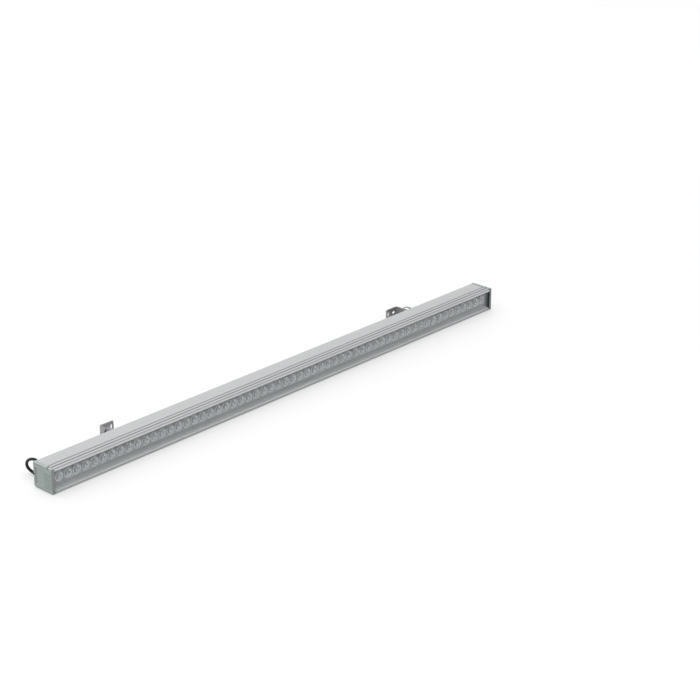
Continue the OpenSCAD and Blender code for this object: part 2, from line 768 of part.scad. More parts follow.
// Free end of the cable: straight out, down in a half turn and along the floor.
// Each step is measured along X from the gland, along Y from the housing, along Z from the floor.
cable_sides = 12;
cable_steps = [
  [0, 10, 31],
  [0, 15, 31],
  [0, 21, 30.4],
  [0, 27, 28.6],
  [0.1, 32.8, 25.5],
  [0.5, 37.4, 21.4],
  [1.1, 40, 16.8],
  [1.9, 40.3, 12.4],
  [3, 38.9, 8.8],
  [4.3, 36, 5.8],
  [5.4, 31.8, 3.6],
  [6, 27, 2.4],
  [6.6, 21.6, 2.4],
  [9, 16.9, 2.4],
  [13, 13.9, 2.4],
  [18, 12.6, 2.4],
  [24.5, 12.6, 2.4],
  [31, 12.6, 2.4],
  [38, 12.6, 2.4],
  [45, 12.6, 2.4]
];
cable_route = [for (p = cable_steps) [gland_x + p[0], rear_y + p[1], p[2]]];
module power_cable() {
  color([0.06, 0.06, 0.06]) tube(cable_route, cable_r, cable_sides, [0, 0, 1]);
}

// Brackets. All are drawn at the left end; the right ones are mirror images.
bracket_x = -overall_length / 2 + bracket_inset;
arm_x = bracket_x + bracket_t;
hole_fit = 0.2;

// Round-ended slot, len along the first direction of the drawing
module slot_shape(len, w) {
  for (s = [-1, 1]) translate([s * (len - w) / 2, 0]) circle(w / 2);
  square([len - w, w], center = true);
}

// Curved slot round the tilt axis, as far each way as the arm tilts
module lock_slot() {
  span = tilt_limit + lock_play;
  far = lock_r * 4;
  difference() {
    circle(lock_r + lock_slot_w / 2);
    circle(lock_r - lock_slot_w / 2);
    polygon([
      [0, 0],
      far * [cos(span), sin(span)],
      far * [cos(180), sin(180)],
      far * [cos(span), -sin(span)]
    ]);
  }
  for (s = [-1, 1]) translate(lock_r * [cos(span), s * sin(span)]) circle(lock_slot_w / 2);
}

// A steel plate across Y, its outer edge at bracket_x or arm_x and its free corners rounded.
// The children are its holes, drawn from the outer edge and from mid-height.
module plate(x, y, h) {
  translate([x, y + bracket_t, slot_z]) rotate([90, 0, 0]) linear_extrude(bracket_t) difference() {
    union() {
      area([0, -h / 2], [bracket_w - plate_corner_r, h / 2]);
      area([0, -h / 2 + plate_corner_r], [bracket_w, h / 2 - plate_corner_r]);
      for (s = [-1, 1])
        translate([bracket_w - plate_corner_r, s * (h / 2 - plate_corner_r)]) circle(plate_corner_r);
    }
    children();
  }
}

// Section of the outer corner that a bend takes off, and of the fillet inside it, for a bend
// whose plate lies at y and whose flange runs towards dir along Y
module bend_corner(x, y, dir) {
  difference() {
    area([x - cut, min(y - dir * cut, y + dir * bend_r)], [x + bend_r, max(y - dir * cut, y + dir * bend_r)]);
    translate([x + bend_r, y + dir * bend_r]) circle(bend_r);
  }
}
module bend_fillet(x, y, dir) {
  difference() {
    area([x + bracket_t, min(y + dir * bracket_t, y + dir * bend_r)],
         [x + bend_r, max(y + dir * bracket_t, y + dir * bend_r)]);
    translate([x + bend_r, y + dir * bend_r]) circle(bend_r - bracket_t);
  }
}

module bracket_foot() {
  color([0.62, 0.62, 0.63]) difference() {
    union() {
      foot_sheet();
      translate([0, 0, slot_z - disc_r]) linear_extrude(2 * disc_r) bend_fillet(bracket_x, rear_y, 1);
    }
    translate([0, 0, slot_z - foot_h]) linear_extrude(2 * foot_h) bend_corner(bracket_x, rear_y, 1);
  }
}

// The foot with a sharp bend
module foot_sheet() {
  plate(bracket_x, rear_y, foot_h)
    for (i = [0, 1]) translate([foot_hole_inset + i * foot_hole_gap, 0]) circle(bolt_r + hole_fit);
  // flange with the tilt bore and the curved slot
  along_x(bracket_x, bracket_t) difference() {
    union() {
      area([rear_y, slot_z - disc_r], [pivot_y, slot_z + disc_r]);
      translate([pivot_y, slot_z]) circle(disc_r);
    }
    translate([pivot_y, slot_z]) circle(bolt_r + fit);
    translate([pivot_y, slot_z]) lock_slot();
  }
}

module bracket_arm() {
  color([0.56, 0.56, 0.57]) difference() {
    union() {
      arm_sheet();
      translate([0, 0, slot_z - arm_h / 2]) linear_extrude(arm_h) bend_fillet(arm_x, wall_y, -1);
    }
    translate([0, 0, slot_z - arm_h]) linear_extrude(2 * arm_h) bend_corner(arm_x, wall_y, -1);
  }
}

// The arm with a sharp bend
module arm_sheet() {
  // flange with the tilt bore and the hole of the lock screw
  along_x(arm_x, bracket_t) difference() {
    union() {
      translate([pivot_y, slot_z]) circle(arm_h / 2);
      area([pivot_y, slot_z - arm_h / 2], [wall_y, slot_z + arm_h / 2]);
    }
    translate([pivot_y, slot_z]) circle(bolt_r + fit);
    translate([pivot_y + lock_r, slot_z]) circle(small_screw_r + fit);
  }
  plate(arm_x, wall_y - bracket_t, arm_h) {
    translate([bracket_w - tall_slot_edge, 0]) rotate(90) slot_shape(tall_slot_l, tall_slot_w);
    translate([wide_slot_inset, 0]) slot_shape(wide_slot_l, wide_slot_w);
  }
}

foot_head_r = 3.6;
foot_head_h = 2.6;
foot_key_share = 0.85;
nut_t = 2.8;
nut_l = 11;
nut_w = 7.4;
module foot_screws() {
  color([0.72, 0.70, 0.66]) for (i = [0, 1])
    translate([bracket_x + foot_hole_inset + i * foot_hole_gap, 0, slot_z]) difference() {
      union() {
        rod_y(lip_y - nut_t, rear_y + bracket_t - lip_y + nut_t, bolt_r);
        rod_y(rear_y + bracket_t, foot_head_h, foot_head_r);
      }
      translate([0, rear_y + bracket_t + foot_head_h / 2, 0]) rotate([-90, 0, 0])
        cylinder(h = foot_head_h, r = bolt_r * foot_key_share, $fn = 6);
    }
}
module slot_nuts() {
  color([0.66, 0.66, 0.64]) for (i = [0, 1])
    translate([bracket_x + foot_hole_inset + i * foot_hole_gap, 0, slot_z]) difference() {
      block([-nut_l / 2, lip_y - nut_t, -nut_w / 2], [nut_l / 2, lip_y, nut_w / 2]);
      rod_y(lip_y - nut_t - cut, nut_t + 2 * cut, bolt_r + fit);
    }
}

// Pivot bolt: head and washer outside the foot flange, washer and nut inside the arm
module at_pivot() {
  translate([0, pivot_y, slot_z]) children();
}
bolt_in = arm_x + bracket_t + washer_t + pivot_nut_h + pivot_tail;
module pivot_bolt() {
  color([0.75, 0.75, 0.74]) at_pivot() {
    rod_x(bracket_x - washer_t - pivot_head_h / 2, bolt_in - bracket_x + washer_t + pivot_head_h / 2, bolt_r);
    hex_x(bracket_x - washer_t - pivot_head_h, pivot_head_h, pivot_head_r);
  }
}
module pivot_washers() {
  color([0.78, 0.78, 0.77]) at_pivot() for (x = [bracket_x - washer_t, arm_x + bracket_t]) difference() {
    rod_x(x, washer_t, washer_r);
    rod_x(x - cut, washer_t + 2 * cut, bolt_r + fit);
  }
}
module pivot_nut() {
  x = arm_x + bracket_t + washer_t;
  color([0.80, 0.80, 0.79]) at_pivot() difference() {
    hex_x(x, pivot_nut_h, pivot_head_r);
    rod_x(x - cut, pivot_nut_h + 2 * cut, bolt_r + fit);
  }
}

// Lock screw: its head slides on the foot flange round the curved slot, its nut is inside the arm
module at_lock() {
  translate([0, pivot_y + lock_r, slot_z]) children();
}
module lock_screw() {
  color([0.74, 0.74, 0.73]) at_lock() {
    rod_x(bracket_x - lock_head_h, lock_head_h, lock_head_r);
    rod_x(bracket_x, 2 * bracket_t + lock_nut_h + lock_tail, small_screw_r);
  }
}
module lock_nut() {
  x = arm_x + bracket_t;
  color([0.78, 0.78, 0.77]) at_lock() difference() {
    hex_x(x, lock_nut_h, lock_nut_r);
    rod_x(x - cut, lock_nut_h + 2 * cut, small_screw_r + fit);
  }
}

// Draws a bracket piece at the right end as its mirror image
module mirrored() {
  mirror([1, 0, 0]) children();
}

housing_profile();
window_pane();
pane_gasket_lower();
pane_gasket_upper();
end_cap_left();
end_cap_right();
end_gasket_left();
end_gasket_right();
light_board_left();
light_board_middle();
light_board_right();
leds();
lens_holders();
lenses();
board_screws();
board_connectors();
driver_board();
driver_transformer();
driver_inductor();
driver_capacitors();
driver_chips();
driver_terminals();
gland_body();
gland_lock_nut();
gland_seal();
gland_cap();
cable_entry();
input_lead_red();
input_lead_black();
output_lead_red();
output_lead_black();
power_cable();
bracket_foot();  // bracket_foot_left
mirrored() bracket_foot();  // bracket_foot_right
foot_screws();  // foot_screws_left
mirrored() foot_screws();  // foot_screws_right
slot_nuts();  // slot_nuts_left
mirrored() slot_nuts();  // slot_nuts_right
pivot_bolt();  // pivot_bolt_left
mirrored() pivot_bolt();  // pivot_bolt_right
pivot_washers();  // pivot_washers_left
mirrored() pivot_washers();  // pivot_washers_right
pivot_nut();  // pivot_nut_left
mirrored() pivot_nut();  // pivot_nut_right
bracket_arm();  // bracket_arm_left
mirrored() bracket_arm();  // bracket_arm_right
lock_screw();  // lock_screw_left
mirrored() lock_screw();  // lock_screw_right
lock_nut();  // lock_nut_left
mirrored() lock_nut();  // lock_nut_right
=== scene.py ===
# %% [markdown]
# # An outdoor wall washer lamp
# The lamp is a metre of extruded aluminium with a window along its front. This notebook loads the
# engineering model as a fixed frame, dresses it piece by piece, and lights it like a product shot.
# X runs along the lamp, the window faces -Y, and Z is up. Blender counts in metres. The shapes are
# worked out in millimetres, as a maker would, and scaled when they become a mesh.

# %% Load the frame
import math
import bmesh
import bpy
import numpy as np
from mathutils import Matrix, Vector
from mathutils.geometry import tessellate_polygon


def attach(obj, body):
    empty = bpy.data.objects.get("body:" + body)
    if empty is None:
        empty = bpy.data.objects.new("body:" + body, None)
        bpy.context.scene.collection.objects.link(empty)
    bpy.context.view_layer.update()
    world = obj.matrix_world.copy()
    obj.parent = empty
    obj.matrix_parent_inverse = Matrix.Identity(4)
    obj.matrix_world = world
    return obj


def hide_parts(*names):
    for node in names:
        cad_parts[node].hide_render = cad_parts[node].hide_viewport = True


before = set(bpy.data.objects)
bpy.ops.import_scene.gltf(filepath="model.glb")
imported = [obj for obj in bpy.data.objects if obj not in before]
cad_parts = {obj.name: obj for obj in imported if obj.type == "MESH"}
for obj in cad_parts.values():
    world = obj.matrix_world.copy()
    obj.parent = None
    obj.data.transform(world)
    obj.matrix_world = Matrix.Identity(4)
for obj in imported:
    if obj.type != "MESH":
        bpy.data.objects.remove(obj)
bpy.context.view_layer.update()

MM = 0.001

# %% [markdown]
# ## Camera
# The photograph was taken with a long lens from the front left and from above, so the lamp's edges
# hardly converge. The place and direction below were worked out from the lamp's own corners. A
# direction is easier to measure than three angles, so Blender turns it into angles itself.

# %% Placing and aiming
def placed(name, data):
    """An object that holds a mesh, a camera or a lamp, linked into the scene."""
    made = bpy.data.objects.new(name, data)
    bpy.context.scene.collection.objects.link(made)
    return made


def aimed(direction):
    """The angles that turn a camera's or a lamp's own -Z axis into a direction, its Y axis upwards."""
    return Vector(direction).to_track_quat("-Z", "Y").to_euler()


# %% Camera
camera_data = bpy.data.cameras.new("camera")
camera_data.lens = 96.97
camera_data.clip_end = 50
camera = placed("camera", camera_data)
camera.location = (-1.9848, -1.9733, 1.2288)
camera.rotation_euler = aimed((0.67823, 0.62682, -0.38354))
bpy.context.scene.camera = camera
print("camera at", tuple(camera.location))

# %% [markdown]
# ## Surfaces as grids
# Every new piece is a grid of points, worked out as one array: its rows run one way over the surface
# and its columns the other, and neighbouring points make the faces. The pieces could be modelled by
# hand from cubes and cylinders. Doing the sums on whole arrays is quick and keeps each shape down to
# a formula that can be read and changed.

# %% Grid faces
def grid_faces(rows, columns, closed=False):
    """Quads between neighbouring points of a grid; closed also joins its last column to its first."""
    r = np.arange(rows - 1)[:, None]
    c = np.arange(columns if closed else columns - 1)[None, :]
    c2 = (c + 1) % columns
    here, above = r * columns, (r + 1) * columns
    return np.stack([here + c, here + c2, above + c2, above + c], -1).reshape(-1, 4)


print("a closed grid of 3 by 8 points has", len(grid_faces(3, 8, closed=True)), "faces")

# %% Turned shapes
def lathe(profile, sides, loop=False):
    """Turns (y, radius) pairs round the Y axis: x = r sin(turn), z = r cos(turn).
    With loop, the last ring also joins the first, for a profile that runs all the way round."""
    profile = np.asarray(profile, float)
    turn = np.linspace(0, 2 * np.pi, sides, endpoint=False)
    along = np.repeat(profile[:, :1], sides, 1)
    points = np.stack([profile[:, 1:] * np.sin(turn), along, profile[:, 1:] * np.cos(turn)], -1)
    faces = grid_faces(len(profile), sides, closed=True)
    if loop:
        first = np.arange(sides)
        last = first + (len(profile) - 1) * sides
        faces = np.vstack([faces, np.stack([last, np.roll(last, -1), np.roll(first, -1), first], -1)])
    return points, faces


def many(points, faces, places):
    """The same small shape at many places: points shifted, faces renumbered."""
    points = points.reshape(-1, 3)
    first_point = (np.arange(len(places)) * len(points))[:, None, None]
    moved = (points[None] + places[:, None]).reshape(-1, 3)
    return moved, (faces[None] + first_point).reshape(-1, faces.shape[1])


print("a profile of 4 points turned with 16 sides has", len(lathe([(0, 1)] * 4, 16)[1]), "faces")

# %% [markdown]
# ## From points to a piece
# Each array becomes one closed mesh. Points that fall together, at a pole or a seam, are merged, and
# the faces are turned outwards; the signed volume that is printed shows that this worked, because a
# mesh that is inside out has a negative one. Every piece then gets its material and the body it
# moves with, and the node of the engineering model that it stands for is hidden.

# %% Piece helper
SAME_POINT = 4e-6  # points nearer than this, in metres, are one


def piece(name, points, faces, material, body, sharp, replaced, marks=None):
    """A mesh object from points and faces, smooth but for edges sharper than an angle in degrees."""
    mesh = bpy.data.meshes.new(name)
    corners = np.asarray(points).reshape(-1, 3).tolist()
    mesh.from_pydata(corners, [], [list(map(int, face)) for face in faces])
    mesh.validate()
    # the marks are painted light and shade, one number per point
    if marks is not None:
        painted_light_mark = mesh.attributes.new("painted_light_mark", "FLOAT", "POINT")
        painted_light_mark.data.foreach_set("value", np.asarray(marks, float))
    shape = bmesh.new()
    shape.from_mesh(mesh)
    bmesh.ops.remove_doubles(shape, verts=shape.verts, dist=SAME_POINT)
    bmesh.ops.recalc_face_normals(shape, faces=shape.faces)
    open_edges = sum(len(edge.link_faces) != 2 for edge in shape.edges)
    volume = round(shape.calc_volume(signed=True) / MM ** 3)
    shape.to_mesh(mesh)
    shape.free()
    mesh.shade_smooth()
    mesh.set_sharp_from_angle(angle=math.radians(sharp))
    mesh.materials.append(material)
    made = placed(name, mesh)
    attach(made, body)
    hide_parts(replaced)
    print(name, len(mesh.polygons), "faces,", volume, "mm3, open edges", open_edges)
    return made


# %% [markdown]
# ## Materials from nodes
# A finish is a shader with a little unevenness: fine lines left by the extrusion die, grain in a
# powder coat, brushing on steel. One small function builds them all from a noise texture on object
# coordinates, because every piece sits at the origin and the noise then runs on across a seam.
#
# Narrow hollows and lips are darker or lighter in the photograph than plain light makes them here.
# A piece can therefore carry painted light and shade as one number per point, its painted light mark:
# 0 is the plain colour, a mark above nought paints shade on it and one below nought paints light on it.

# %% Shader nodes
def node(tree, kind, sockets, **settings):
    """Adds a shader node. A socket is given a plain value, or another node's output to be linked."""
    made = tree.nodes.new("ShaderNode" + kind)
    for setting, value in settings.items():
        setattr(made, setting, value)
    for socket, value in sockets.items():
        if isinstance(value, bpy.types.NodeSocket):
            tree.links.new(value, made.inputs[socket])
        else:
            made.inputs[socket].default_value = value
    return made


def new_material(name, **values):
    """A material, its tree of nodes and its main shader, with the values given for the shader."""
    material = bpy.data.materials.new(name)
    material.use_nodes = True
    shader = material.node_tree.nodes["Principled BSDF"]
    for socket, value in values.items():
        shader.inputs[socket.replace("_", " ")].default_value = value
    return material, material.node_tree, shader


# %% Marks and noise
def scaled(tree, colour, factor):
    """The output of a node that multiplies a colour by a factor."""
    return node(tree, "VectorMath", {0: colour, "Scale": factor}, operation="SCALE").outputs[0]


def shade_by_marks(tree, colour, share):
    """A colour times 1 - share x the mark that each point carries: painted shade above nought, painted
    light below.
    """
    marks = node(tree, "Attribute", {}, attribute_name="painted_light_mark")
    values = {"Value": marks.outputs["Fac"], "To Min": 1, "To Max": 1 - share}
    keep = node(tree, "MapRange", values, clamp=False)
    return scaled(tree, colour, keep.outputs["Result"])


def noise_on(tree, **values):
    """A noise texture on object coordinates, which may be stretched, from 0 to 1."""
    place = node(tree, "TexCoord", {}).outputs["Object"]
    if "stretch" in values:
        place = node(tree, "Mapping", {"Vector": place, "Scale": values.pop("stretch")}).outputs["Vector"]
    return node(tree, "TexNoise", {"Vector": place, **values}).outputs["Fac"]


def add_bump(tree, shader, height, strength, depth):
    """Tilts the shader's surface by the slope of a height."""
    relief = node(tree, "Bump", {"Height": height, "Strength": strength, "Distance": depth})
    tree.links.new(relief.outputs["Normal"], shader.inputs["Normal"])


# %% Finish helper
TONE_BAND = (0.3, 0.7)  # the part of the noise's range that goes from the darkest tone to the lightest
# crevices can take a painted shade, darker the more shut in they are
CREVICE_REACH, CREVICE_FLOOR = 0.0014, 0.3  # how far a crevice is felt in m, and how shut in is darkest
SHADE_FADE = 0.0002  # the width in m over which two shades meet
SMOOTHEST = 0.02  # the least roughness that any finish has


def finish(name, colour, roughness, grain, vary, rough_vary, bump=0.0, depth=0.0001, metallic=0.0,
           stretch=(1, 1, 1), specular=0.5, painted_crevice_shade=0.0, painted_light_share=0.0):
    """A shader whose colour, roughness and height follow one noise: colour x (1 - vary) to x (1 + vary),
    roughness -/+ rough_vary. Crevices can take painted shade by a share, and marked points painted light
    and shade."""
    material, tree, shader = new_material(name, Metallic=metallic, Specular_IOR_Level=specular)
    noise = noise_on(tree, stretch=stretch, Scale=grain, Detail=4)
    tones = node(tree, "ValToRGB", {"Fac": noise})
    for stop, place, factor in zip(tones.color_ramp.elements, TONE_BAND, (1 - vary, 1 + vary)):
        stop.position, stop.color = place, (*[min(1, c * factor) for c in colour], 1)
    tone = tones.outputs["Color"]
    # painted shade: the colour darkened in crevices by how shut in they are
    if painted_crevice_shade:
        shut_in = node(tree, "AmbientOcclusion", {"Distance": CREVICE_REACH})
        shade = {"Value": shut_in.outputs["AO"], "From Min": CREVICE_FLOOR, "To Min": 1 - painted_crevice_shade}
        tone = scaled(tree, tone, node(tree, "MapRange", shade).outputs["Result"])
    # painted light and shade from the marks that each point carries
    if painted_light_share:
        tone = shade_by_marks(tree, tone, painted_light_share)
    tree.links.new(tone, shader.inputs["Base Color"])
    smoother, rougher = max(SMOOTHEST, roughness - rough_vary), roughness + rough_vary
    gloss = {"Value": noise, "To Min": smoother, "To Max": rougher}
    tree.links.new(node(tree, "MapRange", gloss).outputs["Result"], shader.inputs["Roughness"])
    if bump:
        add_bump(tree, shader, noise, bump, depth)
    return material


def darken_in_front(material, limit, share):
    """Multiplies the colour by a share wherever the point's y lies below the limit."""
    tree = material.node_tree
    target = tree.nodes["Principled BSDF"].inputs["Base Color"]
    parts = node(tree, "SeparateXYZ", {0: node(tree, "TexCoord", {}).outputs["Object"]})
    fade = {"Value": parts.outputs["Y"], "From Min": limit, "From Max": limit + SHADE_FADE, "To Min": share}
    factor = node(tree, "MapRange", fade).outputs["Result"]
    tree.links.new(scaled(tree, target.links[0].from_socket, factor), target)


# %% [markdown]
# ## The metals
# The housing is anodised aluminium: a soft grey shine with die lines along X, so its noise is
# stretched to run 300 times finer across the lamp than along it. The end caps have a grey green
# powder coat, the brackets are brushed steel, and the fasteners bright or zinc plated. A photograph
# of each would do as a texture, but noise needs no file and never repeats. The numbers after a
# colour are, in order: roughness, how fine the grain is, how far it varies the colour and the
# roughness, and the strength and depth of the bumps.

# %% Metals
# the housing and the caps carry painted light and shade in their point marks, and the caps also painted
# shade in their crevices
anodised = finish("anodised extrusion", (0.485, 0.495, 0.50), 0.45, 1, 0.03, 0.05, 0.12, 0.00004,
                  metallic=0.3, stretch=(3, 900, 900), painted_light_share=0.45)
cap_coat = finish("grey green powder coat", (0.362, 0.414, 0.395), 0.55, 1400, 0.05, 0.06, 0.25, 0.00006,
                  painted_crevice_shade=0.5, painted_light_share=0.6)
sheet_steel = finish("brushed sheet steel", (0.34, 0.34, 0.35), 0.42, 1, 0.06, 0.08, 0.15, 0.00003,
                     metallic=0.75, stretch=(60, 60, 2600))
screw_steel = finish("bright screw steel", (0.62, 0.61, 0.59), 0.26, 1500, 0.05, 0.06, 0.1, 0.00002,
                     metallic=1)
nut_steel = finish("zinc plated steel", (0.60, 0.61, 0.60), 0.34, 900, 0.08, 0.08, 0.1, 0.00002,
                   metallic=1)
print("metals", [m.name for m in (anodised, cap_coat, sheet_steel, screw_steel, nut_steel)])

# %% [markdown]
# ## Rubbers, plastics and boards
# Gaskets and the cable are matt, with a fine uneven grain. The silicone along the pane and the
# gaskets under the end caps show two shades in the photograph, pale inside the window and dark at
# the very front. The pale shade is painted light, for the light that the window gathers, and the dark
# grey in front is their own colour. One material does both: a place along Y divides the shades, so
# that no gasket has to be cut in two.

# %% Rubbers
# behind these two limits the gaskets are painted paler, painted light for the light the window gathers
SILICONE_FRONT, END_GASKET_FRONT = -0.0150, -0.0168
silicone = finish("grey silicone", (0.84, 0.845, 0.85), 0.6, 900, 0.08, 0.06, 0.1, 0.00004)
darken_in_front(silicone, SILICONE_FRONT, 0.58)
rubber = finish("black rubber", (0.028, 0.028, 0.030), 0.75, 900, 0.15, 0.06, 0.2, 0.00005)
end_rubber = finish("rubber end gasket", (0.25, 0.253, 0.256), 0.7, 900, 0.1, 0.06, 0.2, 0.00005)
darken_in_front(end_rubber, END_GASKET_FRONT, 0.1)
cable_skin = finish("black cable sheath", (0.006, 0.006, 0.0065), 0.5, 700, 0.2, 0.08, 0.15, 0.00005,
                    specular=0.3)
print("rubbers", [m.name for m in (silicone, rubber, end_rubber, cable_skin)])

# %% Boards and plastics
board_grey = finish("grey board", (0.27, 0.275, 0.28), 0.45, 500, 0.25, 0.1, 0.1, 0.00003)
holder_grey = finish("grey lens holder", (0.22, 0.222, 0.225), 0.40, 800, 0.15, 0.06, 0.1, 0.00003)
phosphor = finish("yellow phosphor", (0.80, 0.62, 0.18), 0.35, 2500, 0.08, 0.05)
white_plastic = finish("white moulded plastic", (0.80, 0.81, 0.80), 0.42, 900, 0.02, 0.06, 0.1, 0.00004)
cream_plastic = finish("cream connector plastic", (0.72, 0.70, 0.62), 0.45, 1200, 0.04, 0.06)
board_green = finish("green board", (0.02, 0.13, 0.06), 0.35, 400, 0.25, 0.1)
core_grey = finish("ferrite and tape", (0.07, 0.065, 0.06), 0.5, 700, 0.2, 0.08)
sleeve_blue = finish("capacitor sleeve", (0.02, 0.03, 0.07), 0.3, 500, 0.2, 0.08)
chip_black = finish("chip plastic", (0.012, 0.012, 0.013), 0.5, 2000, 0.2, 0.08)
terminal_green = finish("green terminal plastic", (0.03, 0.20, 0.07), 0.42, 900, 0.1, 0.06)
lead_red = finish("red lead", (0.45, 0.012, 0.012), 0.35, 800, 0.1, 0.06)
lead_black = finish("black lead", (0.012, 0.012, 0.012), 0.35, 800, 0.1, 0.06)
print("materials so far", len(bpy.data.materials))

# %% [markdown]
# ## Clear pieces
# The pane is ordinary glass and the lenses are clear moulded plastic. Real glass lets light through
# to what lies behind, but a renderer finds such paths slowly, so for shadow rays alone the shader
# lets the light pass straight on. What the eye sees is refraction and reflection, mixed with a plain
# diffuse share, the haze. On the pane that is a thin film of dust. Each lens is only some eight
# pixels wide in the photograph and shows a grey average of what it bends into view, which is mostly
# haze here, lighter and darker by painted light and shade marked on its face.

# %% Clear materials
RIPPLE_GRAIN, RIPPLE_DEPTH = 60, 0.0001


def clear(name, colour, roughness, ior, haze, cloud, wave=0.0, painted_light_share=0.0):
    """Refracting glass x (1 - haze) + a diffuse cloud colour x haze, without a hard shadow. The glass
    can have a slow ripple, and the cloud can take painted light and shade from the points' marks."""
    material, tree, shader = new_material(name, Base_Color=(*colour, 1), Roughness=roughness, IOR=ior,
                                          Transmission_Weight=1)
    if wave:
        add_bump(tree, shader, noise_on(tree, Scale=RIPPLE_GRAIN), wave, RIPPLE_DEPTH)
    veil = node(tree, "BsdfDiffuse", {"Color": shade_by_marks(tree, cloud, painted_light_share) if painted_light_share else (*cloud, 1)})
    body = node(tree, "MixShader", {0: haze, 1: shader.outputs[0], 2: veil.outputs[0]})
    shadow_ray = node(tree, "LightPath", {}).outputs["Is Shadow Ray"]
    through = node(tree, "BsdfTransparent", {"Color": (*[c ** 0.5 for c in colour], 1)})
    mix = node(tree, "MixShader", {0: shadow_ray, 1: body.outputs[0], 2: through.outputs[0]})
    tree.links.new(mix.outputs[0], tree.nodes["Material Output"].inputs["Surface"])
    return material


dust, lens_cloud = (0.72, 0.74, 0.75), (0.36, 0.372, 0.395)
pane_glass = clear("clear pane glass", (0.93, 0.96, 0.96), 0.02, 1.52, 0.09, dust, wave=0.05)
# the lenses' cloud takes painted light and shade from the marks on their faces
lens_plastic = clear("clear lens plastic", (0.82, 0.87, 0.93), 0.16, 1.49, 0.78, lens_cloud, painted_light_share=0.9)
print("clear materials", pane_glass.name, "and", lens_plastic.name)

# %% [markdown]
# ## The cable
# A short limp cable leaves the gland behind the left end, turns down under its own weight and lies
# on the floor. A curve object with a round bevel would do for it. It is a tube swept along a smooth
# curve through the route's points instead, because the frame of the tube then turns as little as it
# can from ring to ring, which keeps the sheath from twisting.

# %% Cable route
cable_route = np.array([
    (-482, 31, 31), (-482, 36, 31), (-482, 42, 30.4), (-482, 48, 28.6), (-481.9, 53.8, 25.5),
    (-481.5, 58.4, 21.4), (-480.9, 61, 16.8), (-480.1, 61.3, 12.4), (-479, 59.9, 8.8), (-477.7, 57, 5.8),
    (-476.6, 52.8, 3.6), (-476, 48, 2.4), (-475.4, 42.6, 2.4), (-473, 37.9, 2.4), (-469, 34.9, 2.4),
    (-464, 33.6, 2.4), (-457.5, 33.6, 2.4), (-451, 33.6, 2.4), (-444, 33.6, 2.4), (-437, 33.6, 2.4)]) * MM
CABLE_R = 2.3 * MM


def smooth_path(points, step):
    """A curve through the points, in steps: each stretch is a cubic in t, fixed by the two points at
    its ends and their two neighbours, and it leaves a point in the direction of those beside it."""
    p = np.vstack([2 * points[0] - points[1], points, 2 * points[-1] - points[-2]])
    t = np.linspace(0, 1, step, endpoint=False)[None, :, None]
    a, b, c, d = (p[i:len(p) - 3 + i][:, None] for i in range(4))
    square, cube = 2 * a - 5 * b + 4 * c - d, 3 * b - a - 3 * c + d
    curve = 0.5 * (2 * b + (c - a) * t + square * t ** 2 + cube * t ** 3)
    return np.vstack([curve.reshape(-1, 3), points[-1]])


cable_path = smooth_path(cable_route, 5)

# %% Cable
def tube(path, radius, sides):
    """Rings square to the path: point + radius x (side cos(turn) + other side sin(turn)). The side is
    carried along from ring to ring and squared up to the heading, so only the rings are looped over."""
    heading = np.gradient(path, axis=0)
    heading /= np.linalg.norm(heading, axis=1)[:, None]
    side = np.empty_like(path)
    carried = np.array([0.0, 0.0, 1.0])
    for i, forwards in enumerate(heading):
        carried = carried - forwards * (carried @ forwards)
        carried = side[i] = carried / np.linalg.norm(carried)
    other = np.cross(heading, side)
    turn = np.linspace(0, 2 * np.pi, sides, endpoint=False)[None, :, None]
    rings = path[:, None] + radius * (side[:, None] * np.cos(turn) + other[:, None] * np.sin(turn))
    start = list(range(sides))
    end = list(range((len(path) - 1) * sides, len(path) * sides))[::-1]
    return rings, [*grid_faces(len(path), sides, closed=True)[:, ::-1], start, end]


rings, faces = tube(cable_path, CABLE_R, 24)
cable = piece("power_cable_sheath", rings, faces, cable_skin, "housing", sharp=50,
              replaced="power_cable")

# %% [markdown]
# ## The housing
# The housing is one aluminium extrusion, so it is a closed outline carried along X, with a chamber
# inside. Each corner of the outline gets a small radius, as a real die gives it; a sharp corner would
# catch no light. A bevel on the frame's own mesh would leave slivers beside the narrow grooves, and
# here each corner has the radius it needs. The two grooves stand where the photograph has them.

# %% Housing outline
def rounded(corners, steps=4):
    """Turns right-angled corners (y, z, r) into arcs: corner + r (u1 + u2) - r (u2 cos a + u1 sin a)."""
    c = np.asarray(corners, float)
    p, r = c[:, :2], c[:, 2:3]
    u1, u2 = np.roll(p, 1, 0) - p, np.roll(p, -1, 0) - p
    u1, u2 = u1 / np.linalg.norm(u1, axis=1)[:, None], u2 / np.linalg.norm(u2, axis=1)[:, None]
    a = np.linspace(0, np.pi / 2, steps + 1)[None, :, None]
    bend = u2[:, None] * np.cos(a) + u1[:, None] * np.sin(a)
    return ((p + r * (u1 + u2))[:, None] - r[:, None] * bend).reshape(-1, 2)


